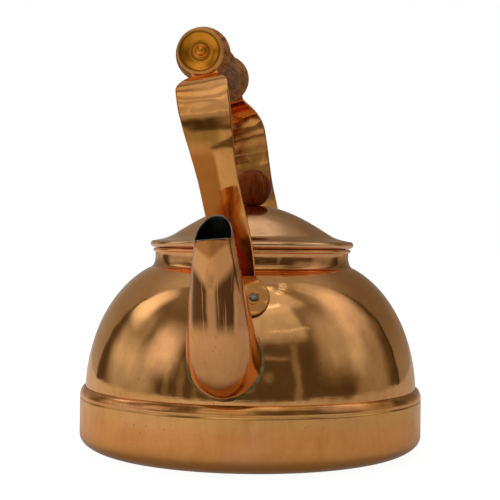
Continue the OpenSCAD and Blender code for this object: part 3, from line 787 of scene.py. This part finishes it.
def makeSpoutSolder(c):
    # a fillet round the foot: its outer edge wanders on the dome, its inner one on the spout
    sides = 240
    a = np.linspace(0, 2 * np.pi, sides, endpoint=False)
    wander = np.sin(5 * a + 1) * 0.25 + np.sin(11 * a) * 0.2
    wander = wander + np.sin(23 * a + 2) * 0.14 + np.sin(41 * a) * 0.1
    wide = c["solder"] * (0.50 + 0.26 * wander)
    on = 0.034 + 0.009 * np.sin(7 * a + 2) + 0.005 * np.sin(19 * a)
    y = (c["footWidth"] / 2 + wide) * np.sin(a)
    z = footMiddle - (footHeight / 2 + wide) * np.cos(a)
    outer = np.stack([np.sqrt(domeAt(z) ** 2 - y * y), y, z], -1)
    inner = spoutPoint(a, on, 0.0)
    root = footPoint(a, 0.3)
    # straight from edge to edge, plus a bulge of four times the share, the rest of it and a tenth
    s = np.linspace(0, 1, 8)[:, None, None]
    out = np.array([1, 0, 0])
    top = outer * (1 - s) + inner * s + 4 * s * (1 - s) * 0.10 * out
    under = np.stack([(inner + root) / 2 - out * 0.2, root - out * 0.5, outer - out * 0.5])
    points = np.vstack([top, under]).reshape(-1, 3)
    addPiece("spoutSolder", points, gridFaces(11, sides, True), solder, "kettle", "spout_solder", "solder")


makePan(bowl)
makeBody(bowl)
makeSpout(spoutShape)
makeSpoutSolder(spoutShape)
print("body and spout made")

grip = {
    "length": 122.0,
    "level": 214.0,
    "shift": 22.2,
    "turn": 3.5,
    "waist": 12.0,
    "beadRadius": 14.4,
    "beadLength": 13.0,
    "rod": 2.0,
}
strapShape = {
    "thick": 1.6,
    "foldWidth": 23.0,
    "width": 20.4,
    "shoulder": 26.8,
    "tongue": 14.2,
    "eye": 11.6,
    "crookOut": 20.0,
    "crookDown": 34.0,
    "crookPull": 30.0,
    "crookOver": 17.0,
    "crookShare": 0.6,
    "foldOut": 6.5,
    "foldRise": 22.0,
    "swellAt": 0.6,
    "swellRun": 0.5,
    "taperAt": (1.38, 1.05),  # front, rear
    "taperRun": (0.45, 0.75),
    "foldDrop": 3.0,
    "rivetDrop": 11.0,
    "rivetGap": 24.0,
    "corner": 8.2,
    "leanRise": 16.0,
    "leanSoft": 0.12,
    "dimple": 3.1,
    "headRadius": 2.35,
    "dimpleDepth": 0.42,
    "footWave": 0.12,
    "crown": 0.0042,
    "uneven": (0.10, 0.06),
    "edge": 0.45,
    "freeTop": 186,
}
foldLevel = creaseLevel - strapShape["foldDrop"]
rivetLevel = foldLevel - strapShape["rivetDrop"]
footLow = rivetLevel - strapShape["corner"]
leanLevel = foldLevel + strapShape["leanRise"]
eyeX = grip["length"] / 2 + strapShape["thick"] / 2
tongueLevel = grip["level"] - 12.2 - strapShape["thick"] / 2 - 0.3


def leanPart(z):
    # nothing low down, then a soft start and straight on up to 1 at the grip
    soft = strapShape["leanSoft"]
    u = (z - leanLevel) / (grip["level"] - leanLevel)
    return np.where(u < -soft, 0, np.where(u > soft, u, (u + soft) ** 2 / (4 * soft)))


def leanTilt(z, shift):
    soft = strapShape["leanSoft"]
    u = (z - leanLevel) / (grip["level"] - leanLevel)
    return math.atan(shift / (grip["level"] - leanLevel)) * np.clip((u + soft) / (2 * soft), 0, 1)


def strapHalf(t, end):
    # half the width at t: narrowing above the fold, widening to the shoulder, then down to the tongue
    s = strapShape
    low = s["foldWidth"] + (s["width"] - s["foldWidth"]) * smooth(2 * t)
    wide = low + (s["shoulder"] - s["width"]) * smooth((t - s["swellAt"]) / s["swellRun"])
    taper = smooth((t - s["taperAt"][end]) / s["taperRun"][end])
    return (wide + (s["tongue"] - wide) * taper) / 2


def strapPath(end):
    # stations of the middle line (x, z) with half width and how far each lies on the dome
    s = strapShape
    half = s["thick"] / 2
    # down the dome: straight sides from the fold to the corners, then the round lower corners
    footZ = np.concatenate([footLow + s["corner"] * (1 - np.cos(np.radians(np.linspace(0, 88, 34)))),
                            np.linspace(rivetLevel + 0.6, foldLevel, 26)])
    footX = domeAt(footZ, 0.05 + half)
    rise = s["corner"] * math.sin(math.radians(35))
    arc = s["rivetGap"] / 2 + np.sqrt(np.maximum(0, s["corner"] ** 2 - (footZ - rivetLevel) ** 2))
    startHalf = s["rivetGap"] / 2 + s["corner"] * math.cos(math.radians(35))
    share = np.clip((footZ - rivetLevel - rise) / (foldLevel - rivetLevel - rise), 0, 1)
    straight = startHalf + (s["foldWidth"] / 2 - startHalf) * share
    footHalf = np.where(footZ < rivetLevel + rise, arc, straight)
    stand = 0.55 * smooth((rivetLevel - 2 - footZ) / (s["corner"] - 2))
    footX = footX + stand
    # up to the crook, over it and in to the tongue
    fold = np.array([footX[-1], foldLevel])
    top = np.array([eyeX + s["crookOut"], grip["level"] - s["crookDown"]])
    bend = 1.5
    last = np.array([eyeX + bend, tongueLevel])
    t = np.linspace(0, 1, 60)[1:]
    rising = bezier(fold, fold + [s["foldOut"], s["foldRise"]], top - [0, s["crookPull"]], top, t)
    highPull = [eyeX + s["crookShare"] * s["crookOut"], tongueLevel + 0.5]
    over = bezier(top, top + [0, s["crookOver"]], highPull, last, t)
    a = np.radians(np.linspace(-90, -180, 9))[1:]
    corner = np.stack([last[0] + bend * np.cos(a), tongueLevel + bend + bend * np.sin(a)], 1)
    eyeZ = grip["level"] - s["eye"] * np.cos(np.linspace(0.62, np.pi - 0.06, 40))
    eyeZ = eyeZ[eyeZ > corner[-1, 1] + 0.3]
    eyeHalf = np.sqrt(np.maximum(0.02, s["eye"] ** 2 - (eyeZ - grip["level"]) ** 2))
    eyeHalf = np.where(eyeZ < grip["level"] - 8, np.maximum(eyeHalf, s["tongue"] / 2), eyeHalf)
    x = np.concatenate([footX, rising[:, 0], over[:, 0], corner[:, 0], np.full(len(eyeZ), eyeX)])
    z = np.concatenate([footZ, rising[:, 1], over[:, 1], corner[:, 1], eyeZ])
    tongueHalf = np.full(len(corner), s["tongue"] / 2)
    wide = np.concatenate([footHalf, strapHalf(t, end), strapHalf(1 + t, end), tongueHalf, eyeHalf])
    hug = 1 - smooth((z - (foldLevel - 9)) / 10)
    return x, z, wide, hug


def strapSection(count):
    # a flat bar's outline with rounded edges, as a share of the half width, an inset from it and a share of
    # the half thickness
    top = np.linspace(1, -1, count)
    a = np.radians(np.linspace(0, 180, 7))[1:-1]
    shares = np.concatenate([top, np.full(5, -1), -top, np.full(5, 1)])
    insets = np.concatenate([np.full(count, 1.0), 1 - np.sin(a), np.full(count, 1.0), 1 - np.sin(a)])
    heights = np.concatenate([np.ones(count), np.cos(a), -np.ones(count), -np.cos(a)])
    return shares, insets, heights


def makeStrap(name, node, end):
    s = strapShape
    x, z, wide, hug = strapPath(end)
    line = np.stack([x, z], 1)
    step = np.gradient(line, axis=0)
    step = step / np.linalg.norm(step, axis=1)[:, None]
    x, z, hug = x[:, None], z[:, None], hug[:, None]
    shares, insets, heights = strapSection(72)
    # both ends are rounded over like the long edges
    closing = np.ones((len(x), 1))
    closing[[0, 1, -1], 0] = 0.45, 0.85, 0.5
    across = shares * np.maximum(wide[:, None] - insets * s["edge"], 0.05)
    lift = heights * s["thick"] / 2 * closing
    # on the dome the bar bends round it: a point at y off the middle drops by the circle's sagitta, which is
    # the radius less the root of its square less the square of y
    r = domeAt(z)
    drop = (r - np.sqrt(np.maximum(r ** 2 - across ** 2, 1))) * hug
    # a shallow dimple round each rivet
    far = np.hypot(np.abs(across) - s["rivetGap"] / 2, z - rivetLevel)
    pressed = 1 - smooth((far - s["headRadius"]) / (s["dimple"] + 0.4 - s["headRadius"]))
    # hammering has left the foot a little wavy
    waves = s["footWave"] * np.sin(across * 0.31 + 1) * np.sin(z * 0.36) * hug
    # above the foot the bar is a little crowned across its width, and a little uneven along it
    free = smooth((z - foldLevel - 8) / 14) * (1 - smooth((z - s["freeTop"]) / 8))
    slow, fast = s["uneven"]
    crown = slow * np.sin(z * 0.33 + 0.6) + fast * np.sin(z * 0.71) - s["crown"] * across ** 2
    lift = lift - np.where(heights > 0, s["dimpleDepth"] * pressed, 0) + waves + crown * free
    turn = 1 - 2 * end
    shift = grip["shift"] - turn * grip["length"] / 2 * math.sin(math.radians(grip["turn"]))
    tilt = leanTilt(z, shift)
    up = -step[:, 0:1] * lift
    py = across * np.cos(tilt) - up * np.sin(tilt)
    pz = z + across * np.sin(tilt) + up * np.cos(tilt)
    # high up the bar also turns with the grip
    yaw = math.radians(grip["turn"]) * turn * smooth((z - 150) / 45)
    dx = step[:, 1:2] * lift - drop
    px = x + dx * np.cos(yaw) - py * np.sin(yaw)
    py = dx * np.sin(yaw) + py * np.cos(yaw) - shift * leanPart(z)
    points = np.stack([px * turn, py, pz], -1).reshape(-1, 3)
    rows, columns = across.shape
    # one many-sided face closes each end
    j = np.arange(columns)
    faces = gridFaces(rows, columns).tolist() + [j[::-1].tolist(), ((rows - 1) * columns + j).tolist()]
    addPiece(name, points, faces, strapCopper, "kettle", node, "strap_copper", 60)


def atRivet(end, side):
    # the rivet's frame: +Z out of the dome, with its outer face at 0
    r = float(domeAt(rivetLevel))
    about = math.radians(180 * end) + side * math.asin(strapShape["rivetGap"] / 2 / r)
    matrix = Matrix.Rotation(about, 4, "Z") @ Matrix.Translation((r, 0, rivetLevel))
    return matrix @ Matrix.Rotation(math.radians(90 - domeTilt(rivetLevel)), 4, "Y")


def makeRivet(name, node, end, side):
    # a low domed head, slightly dished by the hammer, and a burr inside the dome
    face = strapShape["thick"] - 0.3
    wide = strapShape["headRadius"]
    head = oval(0, face + 0.22, wide, 0.62, 0, 78, 9)
    inside = [[0, -2.2], [1.9, -2.2], [2.6, -2.05], [2.8, -1.7], [2.8, -1.35], [1.6, -1.35]]
    line = np.vstack([inside, [[1.6, face], [wide, face]], head, [[0.25, face + 0.83], [0, face + 0.82]]])
    spun(name, line, 40, steel, "kettle", node, "steel", closed=False, matrix=atRivet(end, side), sharp=40)


for end, word in enumerate(("front", "rear")):
    makeStrap(word + "Strap", word + "_strap", end)
makeRivet("rivetFrontRight", "rivet_front_right", 0, 1)
makeRivet("rivetFrontLeft", "rivet_front_left", 0, -1)
makeRivet("rivetRearRight", "rivet_rear_right", 1, -1)
makeRivet("rivetRearLeft", "rivet_rear_left", 1, 1)
print("straps made")

cup = {"radius": 12.2, "depth": 2.6, "thick": 0.9, "nut": 3.4, "rim": (0.62, 0.55)}


def atGrip(end, out):
    # +Z points outwards along the grip, and 0 is this far out from its middle
    level = Matrix.Translation((0, -grip["shift"], grip["level"]))
    about = Matrix.Rotation(math.radians(grip["turn"] + 180 * end), 4, "Z")
    return level @ about @ Matrix.Translation((out, 0, 0)) @ Matrix.Rotation(math.pi / 2, 4, "Y")


def makeGrip(c):
    # half a turned outline from the middle out, with a groove and a ring before the end bead
    h = c["length"] / 2
    g = h - c["beadLength"]
    w = c["waist"]
    bead = c["beadRadius"] - 3.25
    u = np.linspace(0, 1, 22)
    belly = np.stack([w + 0.5 * np.cos(np.pi / 2 * u), (g - 7.1) * u], 1)
    groove = [[-0.05, -6.8], [-0.5, -6.5], [-0.6, -6.2], [-0.5, -5.9], [0.3, -5.5]]
    ring = [[0.6, -5.2], [0.7, -4.4], [0.65, -3.6]]
    turned = np.array(groove + ring) + [w, g]
    hollow = oval(w + 0.3, g - 1.625, 1.2, 1.625, 215, 100, 9)
    ball = oval(bead - 0.02, g + 5, 3.25, 5, -68, 60, 26)
    face = [[bead, h - 0.5], [bead - 0.75, h], [c["rod"] + 0.15, h]]
    right = np.vstack([belly, turned, hollow, ball, face])
    line = np.vstack([right[::-1] * [1, -1], right[1:]])
    spun("grip", line, 128, gripWood, "kettle", "grip", "grip_wood", matrix=atGrip(0, 0), sharp=55)


def makeCup(name, node, which):
    # a pressed dish with a rolled rim, open outwards, with the nut in its middle
    c = cup
    thick = c["thick"]
    deep = c["depth"]
    back = c["nut"] + 2
    lip = c["radius"] - 2 * thick
    start = [[back - 0.4, thick], [back + 2, thick + 0.1]]
    end = [[lip - 2.4, deep - 0.7], [lip - 0.2, deep - 0.12]]
    inner = bezier(*np.array(start + end), np.linspace(0, 1, 12))
    wide, tall = c["rim"]
    rim = oval(c["radius"] - wide, deep - tall, wide, tall, 120, -40, 12)
    outer = [[c["radius"] - 0.1, 0.8], [c["radius"] - 0.35, 0.6], [c["radius"] - thick, 0.65]]
    below = [[c["radius"] - thick, deep - thick], [lip, deep - thick], [back, 0]]
    bore = [[grip["rod"] + 0.15, 0], [grip["rod"] + 0.15, thick]]
    line = np.vstack([bore, inner, rim, outer, below])
    matrix = atGrip(which, grip["length"] / 2 + strapShape["thick"] + 0.02)
    spun(name, line, 128, cupCopper, "kettle", node, "cup_copper", matrix=matrix, sharp=45)


def makeNut(name, node, end):
    # a small domed nut on a flange
    nut = cup["nut"]
    flat = [[0, 0], [nut - 0.1, 0], [nut, 0.15], [nut, 0.7], [nut - 0.15, 0.88]]
    line = np.vstack([flat, oval(0, 0.9, nut - 0.75, 2.18, 2, 90, 14)])
    matrix = atGrip(end, grip["length"] / 2 + strapShape["thick"] + cup["thick"] + 0.04)
    spun(name, line, 64, cupCopper, "kettle", node, "cup_copper", closed=False, matrix=matrix, sharp=45)


makeGrip(grip)
makeCup("frontCup", "front_cup_washer", 0)
makeCup("rearCup", "rear_cup_washer", 1)
makeNut("frontNut", "front_nut", 0)
makeNut("rearNut", "rear_nut", 1)
print("grip made")

lid = {
    "rim": 1.9,
    "over": 1.5,
    "height": 19.9,
    "edge": 43.5,
    "edgeHeight": 3.6,
    "flat": 0.37,
    "roundWide": 15.5,
    "roundHigh": 9.8,
    "wall": 1.0,
    "gap": 0.3,
    "knob": 10.65,
    "seat": 4.5,
    "grooveDepth": 0.30,
}
rimRadius = flangeRadius + lid["over"]
rimLevel = flangeLevel + bowl["bead"] + lid["gap"] + lid["rim"]
lidTop = rimLevel + lid["rim"] + lid["height"]


def lidLine(off, count):
    # a crown that falls in one curve to its edge, then a border that runs out to the rim
    top = lidTop - off
    low = rimLevel + lid["rim"] - off
    edge = np.array([lid["edge"], low + lid["edgeHeight"]])
    out = rimRadius - lid["rim"]
    flatPull = [lid["flat"] * lid["edge"], top + 0.2]
    crown = bezier(np.array([0, top]), flatPull, edge + [-lid["roundWide"], lid["roundHigh"]], edge,
                   np.linspace(0, 1, count))
    borderPull = [(edge[0] + out) / 2, low + 0.9]
    border = bezier(edge, edge + [2.5, -1.6], borderPull, np.array([out, low]), np.linspace(0, 1, 14)[1:])
    return np.vstack([crown, border])


def makeLid(c):
    outer = lidLine(0, 60)
    inner = lidLine(c["wall"], 40)
    bead = oval(rimRadius - c["rim"], rimLevel, c["rim"], c["rim"], 84, -205, 34)
    line = np.vstack([outer[:-1], bead, inner[::-1]])
    spun("lidShell", line, 224, lidCopper, "lid", "lid_shell", "lid_copper", closed=False, sharp=60)


def makeKnob(c):
    # a ball with two fine grooves near its top, each a bell curve by elevation, and a small flat under it
    r = c["knob"]
    a = np.linspace(math.degrees(math.asin(c["seat"] / r)) - 90, 90, 170)
    cut = c["grooveDepth"] * (np.exp(-((a - 57) / 1.5) ** 2) + 0.8 * np.exp(-((a - 70.5) / 1.4) ** 2))
    ball = np.stack([(r - cut) * np.cos(np.radians(a)), (r - cut) * np.sin(np.radians(a))], 1)
    ball[-1, 0] = 0
    line = np.vstack([[[0, ball[0, 1]]], ball])
    up = Matrix.Translation((0, 0, lidTop + math.sqrt(r * r - c["seat"] ** 2) + 0.05))
    spun("knob", line, 96, knobWood, "lid", "knob", "knob_wood", closed=False, matrix=up, sharp=60)


makeLid(lid)
makeKnob(lid)
print("lid made")

# these pieces keep the shapes they have in the frame
kept = {
    "seam_solder": solder,
    "grip_rod": steel,
    "lid_collar": tin,
    "collar_solder": solder,
    "knob_screw": steel,
    "knob_washer": steel,
}
for node, material in kept.items():
    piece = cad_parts[node]
    piece.data.materials.clear()
    piece.data.materials.append(material)

studio = {
    "floor": (0.52, 0.52, 0.52, 1),
    "floorGlow": 0.86,
    "floorHalf": 9,
    "mirroredFloor": 0.60,
    "mirroredTint": (1.0, 0.97, 0.93),
    # the mirrored floor's light under the kettle, and what it gains between two distances from its middle
    "underKettle": 0.45,
    "floorGains": [(0.09, 0.20, 0.22), (0.088, 0.110, 0.33)],
    "floorFade": (-0.25, 0.25, 0.28),
    "background": 1.0,
    "softBox": {"size": 1.6, "energy": 9, "place": (0.2, 0.1, 1.7)},
    "roomRadius": 2.6,
    # soft panels round the object: direction, half widths and soft edge in degrees, then how bright
    # (0 is towards the camera, plus is to the right of it)
    "panels": {
        "leftHigh": (-111, 41, 10, 10, 8, 0.84),
        "leftMiddle": (-66, 26, 8, 8, 12, 0.72),
        "leftLow": (-92, 8, 20, 10, 10, 0.32),
        "leftFill": (-100, 24, 13, 14, 8, 0.22),
        "leftBack": (-142, 56, 12, 10, 8, 0.16),
        "rightHigh": (98, 42, 12, 14, 12, 0.48),
        "rightFar": (112, 56, 18, 13, 8, 0.26),
        "rightMiddle": (70, 31, 14, 14, 13, 0.32),
        "rightLow": (92, 8, 14, 14, 8, 0.22),
        "frontHigh": (6, 50, 38, 12, 5, 0.30),
        "overhead": (0, 74, 70, 12, 6, 0.34),
        "crook": (-18, 29, 18, 21, 4, 0.36),
        "barHigh": (-18, 24, 17, 0.9, 0.7, 0.45),
        "barLow": (-18, 16, 15, 0.7, 0.6, 0.45),
        "lampNear": (5, 66, 34, 0.9, 0.8, 0.9),
        "lampFar": (0, 82, 90, 1.1, 0.9, 0.8),
        "door": (31, 12, 1.8, 22, 1.2, 0.14),
        "windowHigh": (18, 27, 9, 1.1, 1.6, 0.15),
        "windowLow": (12, 15, 1.6, 1.2, 3.0, 0.14),
        "slatOne": (-58, 4, 2, 14, 1.5, 0.10),
        "slatTwo": (-47, 6, 1.5, 16, 1.2, 0.12),
        "slatThree": (-37, 2, 2, 12, 1.5, 0.08),
    },
    # rows of small lamps: direction, half widths in degrees, spacing in degrees, then how bright
    "beads": [(96, 76, 44, 3.0, 14.0, 0.7), (34, 43, 16, 1.1, 3.0, 0.6)],
    "ambient": 0.085,
    "ceiling": (25, 75, 0.26),
    # the plain sides, as left and right: how bright, and where they start, which leans on the left
    "sides": (0.44, 0.30),
    "edge": 121,
    "lean": (9.5, 0.27),
    # the dark seam in front of them: its edges, where it ends going up, and how bright it is left and right
    "seamEdges": (-2.8, -1.6),
    "seamTop": (60, 34),
    "seamLight": (0.10, 0.04),
    # what the sides lose or gain between two elevations, and a lamp behind
    "sideFade": (-6, 22, 0.38),
    "sideGlow": (36, 58, 0.15),
    "backLamp": ((146, 164), (63, 3, 10), 0.38),
    # what is dim is also warm
    "warm": (0.06, 0.45, (1.0, 0.82, 0.52), (1.0, 0.985, 0.955)),
}


def stagePiece(name, material, points, faces, *hidden):
    # stands round the object in metres, and is hidden from these kinds of ray
    mesh = bpy.data.meshes.new(name)
    mesh.from_pydata(points, [], faces)
    piece = linked(name, mesh)
    piece.data.materials.append(material)
    for ray in hidden:
        setattr(piece, "visible_" + ray, False)


def makeRoom(c):
    # a large dome that lights the object and shows in its polish, with soft bright panels on it
    material, place = newMaterial("room")
    x, y, z = place.part(0), place.part(1), place.part(2)
    turn = math.radians(cameraSetup["round"])
    ahead = x * math.cos(turn) + y * math.sin(turn)
    aside = y * math.cos(turn) - x * math.sin(turn)
    azimuth = aside.math("ARCTAN2", ahead) * (180 / math.pi)
    elevation = (z / c["roomRadius"]).math("ARCSINE") * (180 / math.pi)
    away = azimuth.math("ABSOLUTE")
    low, high, bright = c["ceiling"]
    total = elevation.between(low, high) * (bright - c["ambient"]) + c["ambient"]
    for around, level, wide, tall, soft, bright in c["panels"].values():
        across = azimuth.about(around, wide - soft * 0.5, wide + soft)
        total = total + across * elevation.about(level, tall - soft * 0.5, tall + soft) * bright
    for around, level, wide, tall, gap, bright in c["beads"]:
        row = azimuth.about(around, wide - 2, wide + 2) * elevation.about(level, tall * 0.4, tall)
        dots = (azimuth * (2 * math.pi / gap)).math("SINE").between(-0.3, 0.5)
        total = total + row * dots * bright
    wander = place.noise(2.2, 4, 0.6, 0.6)
    total = total * (0.72 + wander * 0.56)
    # plain sides, brighter low down, behind a thin dark seam
    leftward = azimuth.between(20, -20)
    start, fall = c["lean"]
    behind = away - (leftward * (start - elevation * fall) + c["edge"])
    plain = behind.between(0, 1)
    seam = behind.between(*c["seamEdges"]) * (1 - plain) * elevation.between(*c["seamTop"])
    total = total * (1 - seam) + seam * byEnd(leftward, c["seamLight"])
    low, high, share = c["sideFade"]
    flat = byEnd(leftward, c["sides"]) * (1 - elevation.between(low, high) * share)
    low, high, share = c["sideGlow"]
    flat = flat + elevation.between(low, high) * share
    across, level, share = c["backLamp"]
    flat = flat + away.between(*across) * elevation.about(*level) * share
    total = total * (1 - plain) + plain * flat * (0.9 + wander * 0.2)
    low, high, dim, lit = c["warm"]
    tint = total.between(low, high).blend(dim, lit)
    finished(material, place, {"Color": total.tinted(tint)}, "ShaderNodeEmission")
    rows, columns = 33, 64
    lift = np.radians(np.linspace(-4, 89.5, rows))[:, None]
    a = np.linspace(0, 2 * np.pi, columns, endpoint=False)[None, :]
    points = np.stack([np.cos(lift) * np.cos(a), np.cos(lift) * np.sin(a), np.sin(lift) + 0 * a], -1)
    points = (points.reshape(-1, 3) * c["roomRadius"]).tolist()
    faces = gridFaces(rows, columns).tolist() + [list(range((rows - 1) * columns, rows * columns))]
    stagePiece("room", material, points, faces, "camera", "shadow")


def makeStudio(c):
    # the floor that the camera sees is pale and takes a soft shadow
    material, place = newMaterial("floor")
    look = {
        "Base Color": c["floor"],
        "Roughness": 0.9,
        "Specular IOR Level": 0.0,
        "Emission Color": (1, 1, 1, 1),
        "Emission Strength": c["floorGlow"],
    }
    finished(material, place, look)
    half = c["floorHalf"]
    corners = [(-half, -half, 0), (half, -half, 0), (half, half, 0), (-half, half, 0)]
    stagePiece("floor", material, corners, [(0, 1, 2, 3)], "glossy", "diffuse")
    # and the one that the copper mirrors is a little dimmer, most of all under the kettle, where a shadow is
    # painted
    material, place = newMaterial("mirroredFloor")
    far = (place.part(0) ** 2 + place.part(1) ** 2) ** 0.5
    light = c["underKettle"]
    for low, high, gain in c["floorGains"]:
        light = far.between(low, high) * gain + light
    low, high, share = c["floorFade"]
    light = light * (1 - place.part(1).between(low, high) * share) * c["mirroredFloor"]
    finished(material, place, {"Color": light.tinted(c["mirroredTint"])}, "ShaderNodeEmission")
    stagePiece("mirroredFloor", material, corners, [(0, 1, 2, 3)], "camera")
    world = bpy.data.worlds.new("world")
    bpy.context.scene.world = world
    world.use_nodes = True
    background = world.node_tree.nodes["Background"].inputs
    background["Color"].default_value = (1, 1, 1, 1)
    background["Strength"].default_value = c["background"]
    # one soft box overhead
    data = bpy.data.lights.new("softBox", "AREA")
    data.shape = "DISK"
    data.size = c["softBox"]["size"]
    data.energy = c["softBox"]["energy"]
    light = linked("softBox", data)
    light.location = c["softBox"]["place"]
    light.visible_glossy = False
    makeRoom(c)


makeStudio(studio)
bpy.context.scene.view_settings.view_transform = "Standard"
bpy.context.scene.view_settings.look = "None"
print("studio made")
